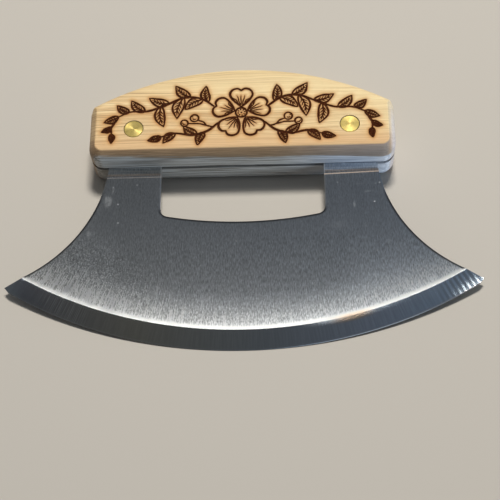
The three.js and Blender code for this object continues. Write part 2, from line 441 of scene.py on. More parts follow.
def wood_material():
    g = material_graph("pale_hardwood")
    mm = g.knife_millimetres()
    x, y, z = g.split(mm)

    # Growth layers run along the handle, almost level on the front face, and wander a little.
    wander = g.remap(g.noise(mm, (48, 13, 13), 2), 0, 1, -2.6, 2.6)
    layer = g.plus(y, g.times(z, 0.35), wander)
    growth = g.line_noise(layer, 1.5, 3, 0.65)
    broad = g.line_noise(layer, 7.0, 1, 0.5, 31.0)
    fibre = g.noise(mm, (7.0, 0.20, 0.20), 3, 0.6)
    patches = g.noise(mm, (30, 8, 8), 2, 0.5, 5.0)
    tone = g.plus(g.times(growth, 0.50), g.times(fibre, 0.25), g.times(broad, 0.25))
    wood = g.ramp(tone, (0.34, srgb(204, 166, 118)), (0.44, srgb(226, 194, 145)),
                  (0.56, srgb(238, 209, 159)), (0.68, srgb(246, 225, 178)))

    # Dark hairlines in the denser layers, broken along their length and stronger on the left.
    hairline = g.times(g.ease(g.line_noise(layer, 0.46, 1, 0.5, 12.0), 0.52, 0.61),
                       g.ease(g.noise(mm, (24, 1.0, 1.0), 2, 0.6, 3.0), 0.32, 0.54))
    wood = g.over(wood, srgb(170, 128, 88), hairline, g.ease(x, -10, -44, 0.50, 0.78))
    pores = g.ease(g.noise(mm, (2.6, 0.16, 0.16), 2, 0.5, 9.0), 0.66, 0.74)
    wood = g.over(wood, srgb(150, 106, 66), pores, 0.35)

    # Paler wood towards the top and the right, and warmer, pinker wood low on the handle.
    wood = g.over(wood, srgb(250, 231, 180), g.ease(g.plus(y, g.times(x, 0.24)), 12, 27),
                  g.remap(patches, 0.3, 0.6, 0.6, 1), 0.50)
    wood = g.over(wood, srgb(212, 164, 120), g.ease(y, 10.0, 2.6),
                  g.remap(patches, 0.35, 0.65, 0.5, 1), 0.60)
    wood = g.over(wood, srgb(226, 190, 140), g.remap(patches, 0.45, 0.75, 0, 0.30))

    # The eased edges are browned, partly the wood's own browning and partly painted shade where the
    # edge turns away from the light, and greyer towards the right as a painted cool light.
    fibrous = g.remap(fibre, 0.35, 0.65)
    edge_brown_and_shade = g.over(g.mix(fibrous, srgb(76, 60, 46), srgb(132, 108, 84)),
                     g.mix(fibrous, srgb(106, 104, 106), srgb(138, 135, 136)),
                     g.ease(x, 6, 44, 0, 0.95))
    eased = g.times(g.remap(z, HANDLE_HALF - 0.12, HANDLE_HALF - 0.35), g.ease(y, 9, 4, 0.5, 1),
                    g.ease(x, 47.5, 50, 1, 0.35), g.ease(y, 17, 20.5, 1, 0.1))
    wood = g.over(wood, edge_brown_and_shade, eased, 0.80)

    # The bottom face is greyer, partly weathered and partly a painted cool light that grows bluer
    # towards the right, and the right end is painted pale as a sheen.
    streaky = g.noise(mm, (11, 0.6, 0.42), 3, 0.6, 27.0)
    depth = g.plus(z, g.remap(x, -50, 30, 0.9, 2.3), g.ease(x, 30, 46, 0, 1.2),
                   g.remap(streaky, 0.3, 0.7, -0.6, 0.6), g.remap(patches, 0.3, 0.7, -0.3, 0.3))
    weather = g.remap(g.noise(mm, (22, 0.5, 0.55), 3, 0.65, 21.0), 0.38, 0.62)
    grey_and_cool_light = g.over(g.mix(weather, srgb(112, 108, 100), srgb(188, 186, 180)),
                  g.mix(weather, srgb(172, 178, 188), srgb(226, 230, 236)), g.ease(x, 8, 38))
    wood = g.over(wood, grey_and_cool_light, g.ease(y, 1.9, 0.9), g.ease(depth, 8.0, 7.1), 0.90)
    # Painted sheen on the right end, pale and cool.
    worn = g.mix(weather, srgb(188, 182, 184), srgb(220, 216, 220))
    wood = g.over(wood, worn, g.ease(x, 48.6, 50.0), g.ease(y, 24, 10), 0.68)

    # Burnt lines with a scorched border.
    ragged = g.noise(mm, (0.45, 0.25, 0.25), 3, 0.7, 2.0)
    core = g.ease(g.plus(g.attribute("burn"), g.remap(ragged, 0.3, 0.7, -0.22, 0.22)), 0.36, 0.66)
    halo = g.math("MULTIPLY", g.attribute("scorch"), g.remap(ragged, 0.2, 0.8, 0.65, 1.2),
                  clamp=True)
    wood = g.over(wood, srgb(226, 168, 96), g.attribute("toast"),
                  g.ease(patches, 0.35, 0.60, 0.25, 1), 0.34)
    wood = g.over(wood, srgb(172, 106, 44), halo, 0.88)
    char = g.mix(g.remap(ragged, 0.38, 0.70), srgb(40, 15, 4), srgb(98, 48, 16))
    wood = g.over(wood, char, core)

    roughness = g.plus(g.remap(fibre, 0.3, 0.7, 0.44, 0.56), g.times(core, 0.25))
    relief = g.plus(g.times(fibre, 0.35), g.times(pores, -0.8), g.times(hairline, -0.35),
                    g.times(core, ragged, 1.2))
    return g.finish(Base_Color=wood, Roughness=roughness, Normal=g.bump(relief, 0.05, 0.6),
                    IOR=1.42)


WARM_REFLECTION_PLACE = 34.5

# Rubbed spots and fine scratches on the front of the blade: place, half extents and strength.
SMUDGES = ((24.3, -34.7, 1.8, 3.4, 0.36), (50.3, -31.7, 1.2, 1.1, 0.40),
           (-3.9, -31.8, 1.5, 1.1, 0.36), (-50.1, -24.6, 0.9, 1.8, 0.45),
           (-44.4, -12.6, 1.9, 3.2, 0.75), (-43.0, -8.2, 0.7, 2.4, 0.40),
           (31.2, -23.3, 3.6, 2.2, 0.18), (39.1, -31.1, 0.24, 3.4, 0.60),
           (41.8, -11.0, 2.6, 0.24, 0.75), (39.2, -8.1, 2.7, 0.24, 0.40),
           (36.6, -15.7, 0.7, 1.7, 0.60), (47.6, -18.3, 0.6, 0.6, 0.4),
           (43.9, -38.6, 0.6, 0.6, 0.5), (-3.8, -38.7, 0.25, 1.7, 0.35))

# Nicks there: place and strength.
NICKS = ((11.9, -37.1, 0.7), (25.2, -46.8, 0.4), (-41.0, -13.9, 0.6), (-40.7, -20.8, 0.6),
         (-35.0, -6.7, 0.3), (31.3, -7.4, 0.3), (43.7, -8.2, 0.25), (45.1, -7.8, 0.5),
         (43.1, -14.9, 0.9))


def steel_material():
    g = material_graph("brushed_steel")
    mm = g.knife_millimetres()
    x, y, z = g.split(mm)
    front = g.remap(z, 0.0, 0.1)

    # Distance past the bevel's shoulder, and distance along it.
    down = g.minus(BEVEL_CENTRE, y)
    past = g.minus(g.hypot(x, down), BEVEL_RADIUS)
    along = g.times(g.math("ARCTAN2", x, down), BEVEL_RADIUS)
    polar = g.combine(along, past, 0.0)
    bevel = g.remap(past, -0.06, 0.06)

    brush = g.noise(mm, (0.30, 1.5, 4), 2, 0.55)
    dashes = g.noise(mm, (0.32, 0.85, 4), 1, 0.5, 17.0)
    streak = g.noise(mm, (0.45, 22, 4), 2, 0.6, 7.0)
    cloud = g.noise(mm, (14, 18, 8), 2, 0.5, 3.0)
    grain = g.noise(mm, (0.30, 0.36, 0.4), 2, 0.6, 8.0)
    level = g.noise(mm, (40, 0.42, 4), 1, 0.5, 41.0)

    # Short grinding strokes across the shoulder, which the colour paints bright as highlights, and
    # painted glints, strongest on the left.
    strokes = g.noise(polar, (0.50, 8.0, 1.0), 0, 0.5)
    fine_strokes = g.noise(polar, (0.34, 3.2, 1.0), 1, 0.5, 13.0)
    near = g.times(g.ease(g.plus(past, g.remap(cloud, 0.3, 0.7, -3, 3)), -15, -1.0),
                   g.ease(x, 2, -46, 0.22, 1))
    struck = g.math("MAXIMUM", g.ease(strokes, 0.62, 0.70),
                    g.times(g.ease(fine_strokes, 0.56, 0.66), 0.75))
    struck = g.times(near, struck)
    grit_and_sparkle = g.times(g.ease(x, -22, -50, 0.12, 1), g.ease(past, -28, -9))
    painted_glints = g.times(grit_and_sparkle, g.ease(grain, 0.57, 0.65))

    # Tiny pits, painted pale as glints, and faint rubbed patches.
    cells = g.node("ShaderNodeTexVoronoi", {"Vector": g.vector("MULTIPLY", mm, (0.20, 0.18, 0.1)),
                                            "Scale": 1.0})
    glinting_pits = g.times(g.remap(cells.outputs["Distance"], 0.060, 0.035),
                   g.ease(g.noise(mm, (9, 9, 9), 2, 0.5, 4.0), 0.48, 0.60))
    rubbed = g.times(g.ease(g.noise(mm, (5, 7, 5), 3, 0.6, 11.0), 0.62, 0.72),
                     g.remap(grain, 0.40, 0.65))

    # The flat's colour is lightened towards the shoulder, partly a buffed band and partly painted
    # glare, tinted bluer to the right and warmer to the left as a painted reflection, and lightened
    # further near the shoulder on the left as painted glare.
    flat = g.mix(g.remap(streak, 0.3, 0.7), (0.57, 0.595, 0.62), (0.63, 0.655, 0.68))
    flat = g.over(flat, (0.84, 0.83, 0.80), g.ease(past, -12, -1, 0, 0.50))
    flat = g.tint(flat, g.ramp(g.remap(x, -70, 70), (0.0, (1.0, 0.99, 0.96)),
                               (0.5, (1.0, 1.0, 1.0)), (1.0, (1.08, 1.12, 1.16))))
    painted_glare = g.times(g.ease(x, -24, -50), g.ease(past, -8.5, -3.5))
    flat = g.tint(flat, g.remap(painted_glare, 0, 1, 1, 1.34))

    # The middle of the blade is darkened above the shoulder, a painted shade against the strip light's
    # spread, and the scratched part is darkened under its strokes, which are painted bright as
    # highlights along with its grainy sparkle.
    shades = ((0.0, 1.0), (0.28, 0.90), (0.60, 0.72), (0.86, 0.88), (0.95, 1.0))
    painted_dimming = g.ramp(g.remap(past, -32, 0), *[(place, (shade,) * 3) for place, shade in shades])
    flat = g.over(flat, g.tint(flat, painted_dimming), g.ease(g.away(x, -4), 48, 28))
    scratched = g.times(g.ease(x, -20, -46), g.ease(past, -24, -10))
    flat = g.tint(flat, g.remap(scratched, 0, 1, 1, 0.78))
    lines = g.plus(g.remap(strokes, 0.46, 0.72, -0.16, 0.80),
                   g.remap(fine_strokes, 0.46, 0.68, -0.16, 0.70))
    flat = g.tint(flat, g.plus(1.0, g.times(near, lines)))
    flat = g.tint(flat, g.plus(1.0, g.times(grit_and_sparkle, g.remap(grain, 0.47, 0.66, -0.12, 1.25))))

    # The tangs are smoother. Under the handle the colour is darkened with level streaks and a warm
    # band, a painted reflection of the handle's underside.
    flat = g.tint(flat, g.mix(g.ease(y, -34, -20, 0, 0.55), g.remap(brush, 0.34, 0.66, 0.70, 1.30),
                              (1.0, 1.0, 1.0)))
    painted_reflection_bands = g.mix(g.remap(level, 0.35, 0.65), (0.72, 0.74, 0.78), (1.02, 0.98, 0.94))
    painted_reflection_bands = g.over(painted_reflection_bands, (1.20, 0.96, 0.80), g.ease(g.away(y, -2.9), 0.6, 0.2, 0, 0.8))
    flat = g.over(flat, g.tint(flat, painted_reflection_bands), g.ease(y, -4.2, -3.6))
    contrast = g.times(g.ease(past, -16, -1.5, 0.08, 0.40), g.ease(past, -1.9, -0.9, 1, 0.10),
                       g.ease(x, -10, 30, 1, 0.72))
    flat = g.tint(flat, g.plus(1.0, g.times(contrast, g.remap(dashes, 0.32, 0.68, -1, 1))))

    # Marks on the flat, and its bright borders, most of them painted highlights: strokes and glints,
    # rubbed patches, a pale band on the lower left side that is partly wear and partly painted sheen,
    # and pits painted pale.
    flat = g.over(flat, (1.0, 0.99, 0.96), g.math("ADD", struck, painted_glints, clamp=True), 0.95)
    flat = g.over(flat, (0.92, 0.94, 0.96), rubbed, 0.55)
    flat = g.over(flat, (0.95, 0.96, 0.96), g.attribute("worn"), g.ease(grain, 0.40, 0.62, 0, 0.40))
    # A painted glint along the finger opening's border.
    flat = g.over(flat, (1.0, 1.0, 1.0), g.attribute("lit"), 0.7)
    # The shoulder's line is painted near white, a painted highlight.
    flat = g.over(flat, (1.0, 1.0, 0.97), g.ease(past, -1.8, -0.7))
    flat = g.over(flat, (0.95, 0.95, 0.95), glinting_pits, 0.9)

    # The bevel is ground finer and scalloped at the tips. Its colour is a painted reflection, darker
    # on the left and bluer towards the right and at the left tip, with painted highlights on the
    # scallops and painted shade between them on the right, lighter grinding marks near the left tip,
    # and a painted bright line along the honed edge on the right.
    bevel_with_painted_light = g.ramp(g.remap(x, -70, 70), (0.0, (0.30, 0.33, 0.39)), (0.26, (0.54, 0.53, 0.46)),
                    (0.55, (0.54, 0.58, 0.59)), (0.78, (0.66, 0.73, 0.82)),
                    (1.0, (0.70, 0.85, 1.0)))
    bevel_with_painted_light = g.tint(bevel_with_painted_light, g.remap(strokes, 0.3, 0.7, 0.96, 1.04))
    ripple = g.math("SINE", g.times(along, 2 * math.pi / SCALLOP_PITCH))
    scallop_highlight = g.times(g.ease(x, 64, 71.5), g.ease(past, 2.2, 5.8, 0.08, 1), g.remap(ripple, -0.2, 1.0))
    bevel_with_painted_light = g.over(bevel_with_painted_light, (0.86, 0.89, 0.92), g.ease(x, 63, 73, 0, 0.12))
    bevel_with_painted_light = g.over(bevel_with_painted_light, (0.56, 0.67, 0.76), g.ease(x, -69, -75.5, 0, 0.40))
    bevel_with_painted_light = g.over(bevel_with_painted_light, (0.25, 0.29, 0.34), g.ease(x, 60, 66, 0, 0.45),
                    g.remap(ripple, 0.6, -0.6))
    bevel_with_painted_light = g.over(bevel_with_painted_light, (0.96, 0.96, 0.93), scallop_highlight, 0.66)
    bevel_with_painted_light = g.over(bevel_with_painted_light, (0.80, 0.82, 0.84), g.ease(x, -66, -60), g.ease(x, -46, -54),
                    g.ease(g.line_noise(along, 0.42, 1, 0.5, 5.0), 0.50, 0.66), 0.35)
    to_edge = g.minus(EDGE_RADIUS, g.hypot(x, g.minus(y, EDGE_CENTRE)))
    bevel_with_painted_light = g.over(bevel_with_painted_light, (1.0, 1.0, 1.0), g.remap(to_edge, 0.55, 0.30),
                    g.ease(x, 4, 40, 0.15, 1))
    colour = g.over(flat, bevel_with_painted_light, bevel)
    # Painted dark reflection along the rolled lower sides.
    colour = g.over(colour, (0.12, 0.12, 0.125), g.attribute("rim"), 0.9)

    # A painted warm reflection on a short run of the shoulder.
    colour = g.over(colour, (1.0, 0.74, 0.52), g.ease(g.away(x, WARM_REFLECTION_PLACE), 9, 1),
                    g.ease(g.away(past, 0.5), 1.8, 0.4), 0.85)

    flat_rough = g.plus(g.remap(streak, 0.3, 0.7, 0.280, 0.292), g.times(g.plus(struck, painted_glints), 0.27),
                        g.times(rubbed, 0.06), g.times(glinting_pits, 0.25))
    burnished = g.times(g.ease(x, 16, 28), g.ease(x, 58, 28), g.ease(past, 1.9, 0.0))
    bevel_rough = g.plus(g.remap(strokes, 0.3, 0.7, 0.073, 0.083), g.times(scallop_highlight, 0.12),
                         g.ease(x, 61, 67, 0, 0.021), g.times(burnished, 0.24))
    rough = g.node("ShaderNodeMix", {0: bevel, 2: flat_rough, 3: bevel_rough}).outputs[0]
    relief = g.plus(g.times(brush, 0.45), g.times(grain, 0.35), g.times(struck, 0.4),
                    g.times(glinting_pits, -1.5))
    relief = g.times(relief, g.minus(1.0, bevel))
    tangent = g.node("ShaderNodeTangent", direction_type="UV_MAP", uv_map="brush").outputs[0]

    # Dried film on the front: the line of finish under the handle, and the rubbed spots and nicks.
    seal_place = g.plus(g.remap(streak, 0, 1, -3.75, -3.95),
                        g.times(g.math("GREATER_THAN", x, 0.0), g.remap(x, 27, 45, -0.3, 0.35)))
    seal = g.times(g.remap(g.away(y, seal_place), 0.30, 0.10), g.ease(x, -30, 34, 0.22, 0.85),
                   g.remap(level, 0.3, 0.6, 0.75, 1), front)
    smudge = nick = 0.0
    for *place, half_x, half_y, weight in SMUDGES:
        offset = g.vector("SUBTRACT", mm, (*place, BLADE_HALF))
        offset = g.vector("MULTIPLY", offset, (1 / half_x, 1 / half_y, 0))
        far = g.vector("LENGTH", offset, output="Value")
        smudge = g.math("MAXIMUM", smudge, g.ease(far, 1.0, 0.35, 0, weight))
    for *place, weight in NICKS:
        far = g.vector("DISTANCE", mm, (*place, BLADE_HALF), output="Value")
        nick = g.math("MAXIMUM", nick, g.ease(far, 0.42, 0.15, 0, weight))
    patchy = g.ease(g.noise(mm, (0.9, 1.6, 2), 2, 0.6, 19.0), 0.36, 0.56, 0.15, 1)
    film = g.math("MAXIMUM", g.times(smudge, patchy, front, 0.26), g.times(nick, 0.55))
    colour = g.over(colour, srgb(216, 220, 224), film)
    colour = g.over(colour, srgb(206, 176, 146), seal)
    metal = g.minus(1.0, g.math("MAXIMUM", film, seal))
    return g.finish(Base_Color=colour, Metallic=metal, Roughness=rough, Anisotropic=0.95,
                    Tangent=tangent, Normal=g.bump(relief, 0.004, 0.5))


def brass_material(side):
    g = material_graph("turned_brass")
    mm = g.knife_millimetres()
    x, y, _ = g.split(mm)
    across = g.minus(x, side * RIVET_SIDE)
    up = g.minus(y, RIVET_HEIGHT)
    radius = g.hypot(across, up)
    rings = g.line_noise(radius, 0.22, 3, 0.7)
    wear = g.noise(mm, (1.2, 1.2, 1.2), 3, 0.6)
    scratches = g.ease(g.noise(mm, (0.14, 2.4, 2.4), 2, 0.5, 6.0), 0.58, 0.70)
    colour = g.mix(g.remap(rings, 0.3, 0.7), srgb(224, 196, 104), srgb(253, 230, 152))
    colour = g.over(colour, srgb(196, 168, 80), g.remap(wear, 0.45, 0.75, 0, 0.5))
    colour = g.over(colour, srgb(130, 106, 42),
                    g.remap(radius, HEAD_RADIUS - 0.3, HEAD_RADIUS, 0, 0.6))
    roughness = g.plus(g.remap(rings, 0.3, 0.7, 0.30, 0.42), g.times(wear, 0.08))
    relief = g.plus(rings, g.times(scratches, 0.4))
    tangent = g.vector("NORMALIZE", g.turned(g.combine(across, up, 0.0), tilt))
    return g.finish(Base_Color=colour, Metallic=0.75, Roughness=roughness, Anisotropic=0.85,
                    Tangent=tangent, Normal=g.bump(relief, 0.01, 0.5))


def floor_material():
    g = material_graph("pale_floor")
    return g.finish(Base_Color=(*srgb(206, 200, 190), 1), Roughness=0.85)


# Burnt line pattern: a flower on a leafy vine, in strokes that swell and taper

class Stroke:
    def __init__(self, points, half_widths):
        self.points = np.asarray(points, float)
        self.widths = np.asarray(half_widths, float)


dice = random.Random(11)


def spline(controls, count):
    """Smooth curve through control points, as count + 1 points."""
    knots = np.asarray(controls, float)
    padded = np.concatenate([[2 * knots[0] - knots[1]], knots, [2 * knots[-1] - knots[-2]]])
    spans = len(knots) - 1
    points = []
    for t in np.linspace(0, spans, count + 1):
        i = min(int(t), spans - 1)
        u = t - i
        p0, p1, p2, p3 = padded[i:i + 4]
        points.append(0.5 * (2 * p1 + (p2 - p0) * u + (2 * p0 - 5 * p1 + 4 * p2 - p3) * u ** 2
                             + (3 * p1 - p0 - 3 * p2 + p3) * u ** 3))
    return np.array(points)


def drawn(points, half_width, start=0.35, end=0.25, swell=0.12):
    """Stroke along points, tapering to its ends, with the small unevenness of a hand."""
    points = np.asarray(points, float)
    steps = np.linspace(0, 1, len(points))
    taper = start + (1 - start) * np.clip(steps / 0.22, 0, 1) ** 0.7
    taper *= end + (1 - end) * np.clip((1 - steps) / 0.35, 0, 1) ** 0.8
    phase = dice.uniform(0, 6.28)
    pulse = 1 + swell * np.sin(steps * dice.uniform(7, 13) + phase)
    shake = np.array([math.sin(9 * t + phase) for t in steps])[:, None]
    tangent = np.gradient(points, axis=0)
    tangent /= np.maximum(np.linalg.norm(tangent, axis=1)[:, None], 1e-9)
    sideways = np.column_stack([-tangent[:, 1], tangent[:, 0]])
    return Stroke(points + sideways * shake * 0.05, half_width * taper * pulse)


# Half widths of outlines, of thin lines and of hatching.
LINE = 0.38
FINE = 0.27
HATCH = 0.18


def placed(points, base, angle, scale=1.0):
    """Points drawn along +X, turned and moved to their place."""
    cos, sin = math.cos(angle) * scale, math.sin(angle) * scale
    turned = np.asarray(points, float) @ np.array([[cos, sin], [-sin, cos]])
    return turned + np.asarray(base, float)


def leaf(base, angle, length, width, bend=0.12):
    """A pointed leaf with a midrib and side veins."""
    t = np.linspace(0, 1, 22)
    half = width / 2 * np.sin(math.pi * t ** 0.82) ** 0.85
    middle = bend * length * np.sin(math.pi * t)
    stem = np.column_stack([t * length, middle])
    strokes = []
    for side in (1, -1):
        edge = stem + np.column_stack([np.zeros_like(t), side * half])
        strokes.append(drawn(placed(edge, base, angle), LINE * 0.92, 0.6, 0.55))
    strokes.append(drawn(placed(stem[:-3], base, angle), FINE, 0.9, 0.3))
    for place in (4, 7, 10, 13):
        for side in (1, -1):
            reach = stem[place + 3] + np.array([0.03 * length, side * half[place + 3] * 0.66])
            vein = np.linspace(stem[place], reach, 6)
            strokes.append(drawn(placed(vein, base, angle), HATCH, 1.0, 0.3, 0.05))
    return strokes


def ring_stroke(centre, radius, half_width, start=0.0, sweep=2 * math.pi, count=22):
    angles = np.linspace(start, start + sweep, count)
    points = np.column_stack([centre[0] + radius * np.cos(angles),
                              centre[1] + radius * np.sin(angles)])
    return drawn(points, half_width, 0.85, 0.85)


def dot(centre, radius):
    return Stroke([centre, (centre[0] + 0.02, centre[1])], [radius, radius])


def berry(centre, radius, stem_from):
    centre = np.asarray(centre, float)
    back = np.asarray(stem_from, float) - centre
    rim = centre + back / np.hypot(*back) * radius
    bow = (rim + stem_from) / 2 + np.array([0.35, 0.25])
    return [ring_stroke(centre, radius, FINE * 1.05, dice.uniform(0, 6.28)),
            drawn(spline([stem_from, bow, rim], 10), FINE, 0.9, 0.7),
            ring_stroke(centre, radius * 0.45, HATCH, 3.6, 1.7, 8),
            dot(centre - back / np.hypot(*back) * radius * 0.62, 0.2)]


def petal(centre, angle, length):
    shape = [(0.24, 0.0), (0.34, 0.12), (0.52, 0.29), (0.76, 0.40), (0.95, 0.31), (1.01, 0.13),
             (0.93, 0.0)]
    upper = spline(shape, 30) * length
    lower = upper * (1, -1)
    strokes = [drawn(placed(upper, centre, angle), LINE, 0.6, 0.8),
               drawn(placed(lower, centre, angle), LINE, 0.6, 0.8)]
    for spread, reach in ((-0.30, 0.62), (-0.13, 0.72), (0.02, 0.78), (0.16, 0.70), (0.31, 0.60)):
        reach *= dice.uniform(0.92, 1.04)
        vein = spline([(0.33, spread * 0.28), (0.5, spread * 0.55), (reach, spread * 0.95)], 9)
        strokes.append(drawn(placed(vein * length, centre, angle), HATCH * 1.05, 1.0, 0.25, 0.05))
    return strokes


FLOWER = np.array([0.0, 15.6])
PETAL = 9.4


def flower():
    strokes = []
    for index in range(5):
        strokes += petal(FLOWER, math.radians(90 + 72 * index), PETAL)
    strokes.append(ring_stroke(FLOWER, 1.85, LINE * 0.9))
    for index in range(8):
        angle = 2 * math.pi * index / 8 + 0.2
        strokes.append(dot(FLOWER + 1.1 * np.array([math.cos(angle), math.sin(angle)]), 0.24))
    strokes.append(dot(FLOWER, 0.28))
    return strokes


def leafy(controls, leaves, tip_length, count=90):
    """A stem with leaves: [percent along it, side, length, width, spread in degrees]."""
    stem = spline(controls, count)
    heading = np.gradient(stem, axis=0)
    strokes = [drawn(stem, LINE * 1.05, 0.9, 0.6)]
    for percent, side, length, width, spread in leaves:
        index = round(percent * count / 100)
        angle = math.atan2(heading[index, 1], heading[index, 0]) - side * math.radians(spread)
        strokes += leaf(stem[index], angle, length, width, side * 0.10)
    tip = math.atan2(heading[-1, 1], heading[-1, 0])
    strokes += leaf(stem[-1], tip, tip_length, tip_length * 0.46, 0.06)
    return strokes


def left_side():
    """The stems, leaves and berries on the left of the flower."""
    upper = [(-9.3, 18.4), (-13.5, 21.4), (-19.0, 22.0), (-25.0, 19.4), (-31.0, 17.0),
             (-36.8, 16.8), (-41.0, 15.0)]
    upper_leaves = ((8, 1, 6.4, 2.8, 44), (14, -1, 7.0, 3.2, 60), (28, 1, 6.8, 3.0, 40),
                    (34, -1, 8.4, 3.6, 62), (48, 1, 7.0, 3.0, 44), (56, -1, 7.8, 3.3, 74),
                    (70, 1, 6.4, 2.8, 46), (86, 1, 5.0, 2.4, 50))
    outer = [(-41.8, 13.6), (-43.2, 10.8), (-43.2, 8.4)]
    lower = [(-7.8, 11.6), (-11.5, 8.6), (-16.5, 7.2), (-22.0, 8.0), (-26.5, 6.8)]
    lower_leaves = ((30, -1, 5.2, 2.5, 44), (42, 1, 5.6, 2.6, 48), (74, -1, 5.4, 2.5, 42))
    fork = (-11.6, 10.9)
    strokes = leafy(upper, upper_leaves, 5.2)
    strokes += leafy(outer, ((46, 1, 3.8, 1.8, 44),), 3.6, 30)
    strokes += leafy(lower, lower_leaves, 4.6, 70)
    strokes += berry((-15.6, 13.8), 1.35, fork) + berry((-18.9, 11.9), 1.2, fork)
    strokes.append(drawn(spline([(-9.4, 10.3), (-10.6, 10.5), fork], 10), FINE, 1, 1))
    return strokes


def vine_pattern():
    strokes = flower() + left_side()
    for stroke in left_side():
        strokes.append(Stroke(stroke.points * (-1, 1), stroke.widths))
    return strokes


def stroke_field(points, strokes, margin=2.0):
    """For each point, its distance to the nearest stroke's border and its place across it.

    The place is 0 on the middle of a stroke, 1 on its border, and more outside."""
    border = np.full(len(points), margin)
    across = np.full(len(points), 9.0)
    for stroke in strokes:
        low = stroke.points.min(axis=0) - margin
        high = stroke.points.max(axis=0) + margin
        near = np.flatnonzero(((points > low) & (points < high)).all(axis=1))
        if not len(near):
            continue
        starts, ends = stroke.points[:-1], stroke.points[1:]
        distance, along = segment_distances(points[near], starts, ends)
        width = stroke.widths[:-1] + along * (stroke.widths[1:] - stroke.widths[:-1])
        border[near] = np.minimum(border[near], (distance - width).min(axis=1))
        across[near] = np.minimum(across[near], (distance / width).min(axis=1))
    return border, across


# Handle

OUTLINE_STEP = 0.8
ROUNDOVER_STEPS = 7
EASED_START = math.radians(35)
EASED_END = math.radians(74)
SUPPORT_INSETS = (0.25, 0.7)
GROOVE_DEPTH = 0.28
GROOVE_GRID = 0.135
HALO_GRID = 0.45
FACE_GRID = 2.4
BACK_GRID = 5.0
BACK_GAP = 1.5

# Where a groove and its burn fade out and are full, as shares of a stroke's half width, and how
# far the scorching and the toasting reach past a stroke's border.
GROOVE_WALL = (1.08, 0.45)
BURN_FADE = (1.35, 0.80)
SCORCH_REACH = 0.38
TOAST_FADE = (1.9, 0.2)


def handle_outline():
    """Outline of the handle, anticlockwise from the middle of its bottom face."""
    half = HANDLE_LENGTH / 2
    crown = HANDLE_HEIGHT - HANDLE_END_HEIGHT
    top_radius = (half ** 2 + crown ** 2) / (2 * crown)
    top_centre = HANDLE_HEIGHT - top_radius
    corner_x = half - TOP_CORNER_RADIUS
    corner_y = top_centre + math.sqrt((top_radius - TOP_CORNER_RADIUS) ** 2 - corner_x ** 2)
    top_angle = math.atan2(corner_y - top_centre, corner_x)
    bottom = BOTTOM_CORNER_RADIUS
    return mirrored_loop(path(
        OUTLINE_STEP,
        (0, 0),
        arc(half - bottom, bottom, bottom, -math.pi / 2, 0, OUTLINE_STEP / 2),
        (half, SLOT_DEPTH),
        arc(corner_x, corner_y, TOP_CORNER_RADIUS, 0, top_angle, OUTLINE_STEP / 2),
        arc(0, top_centre, top_radius, top_angle, math.pi / 2, OUTLINE_STEP),
    ))


def rivet_circles(radius):
    return [circle(side * RIVET_SIDE, RIVET_HEIGHT, radius) for side in (-1, 1)]


def clear_of(points, loop, holes, gap):
    """The points that lie inside the loop, and clear of it and of the holes by the gap."""
    keep = inside_loop(points, loop) & (distance_to_chain(points, closed(loop)) > gap)
    for hole in holes:
        centre = hole.mean(axis=0)
        keep &= np.hypot(*(points - centre).T) > np.hypot(*(hole[0] - centre)) + gap
    return points[keep]


def engraved_points(loop, holes, strokes):
    """Points over the front face, dense where the strokes are."""
    low, high = loop.min(axis=0), loop.max(axis=0)
    layers = []
    for step, nearest, furthest in ((FACE_GRID, HALO_GRID * 3, math.inf),
                                    (HALO_GRID, GROOVE_GRID * 1.6, HALO_GRID * 3),
                                    (GROOVE_GRID, -math.inf, GROOVE_GRID * 1.6)):
        points = clear_of(hexagon_grid(low, high, step), loop, holes, min(step, 0.5) * 0.6)
        border, across = stroke_field(points, strokes)
        layers.append(points[(border > nearest) & (border <= furthest)])
    return np.concatenate(layers)


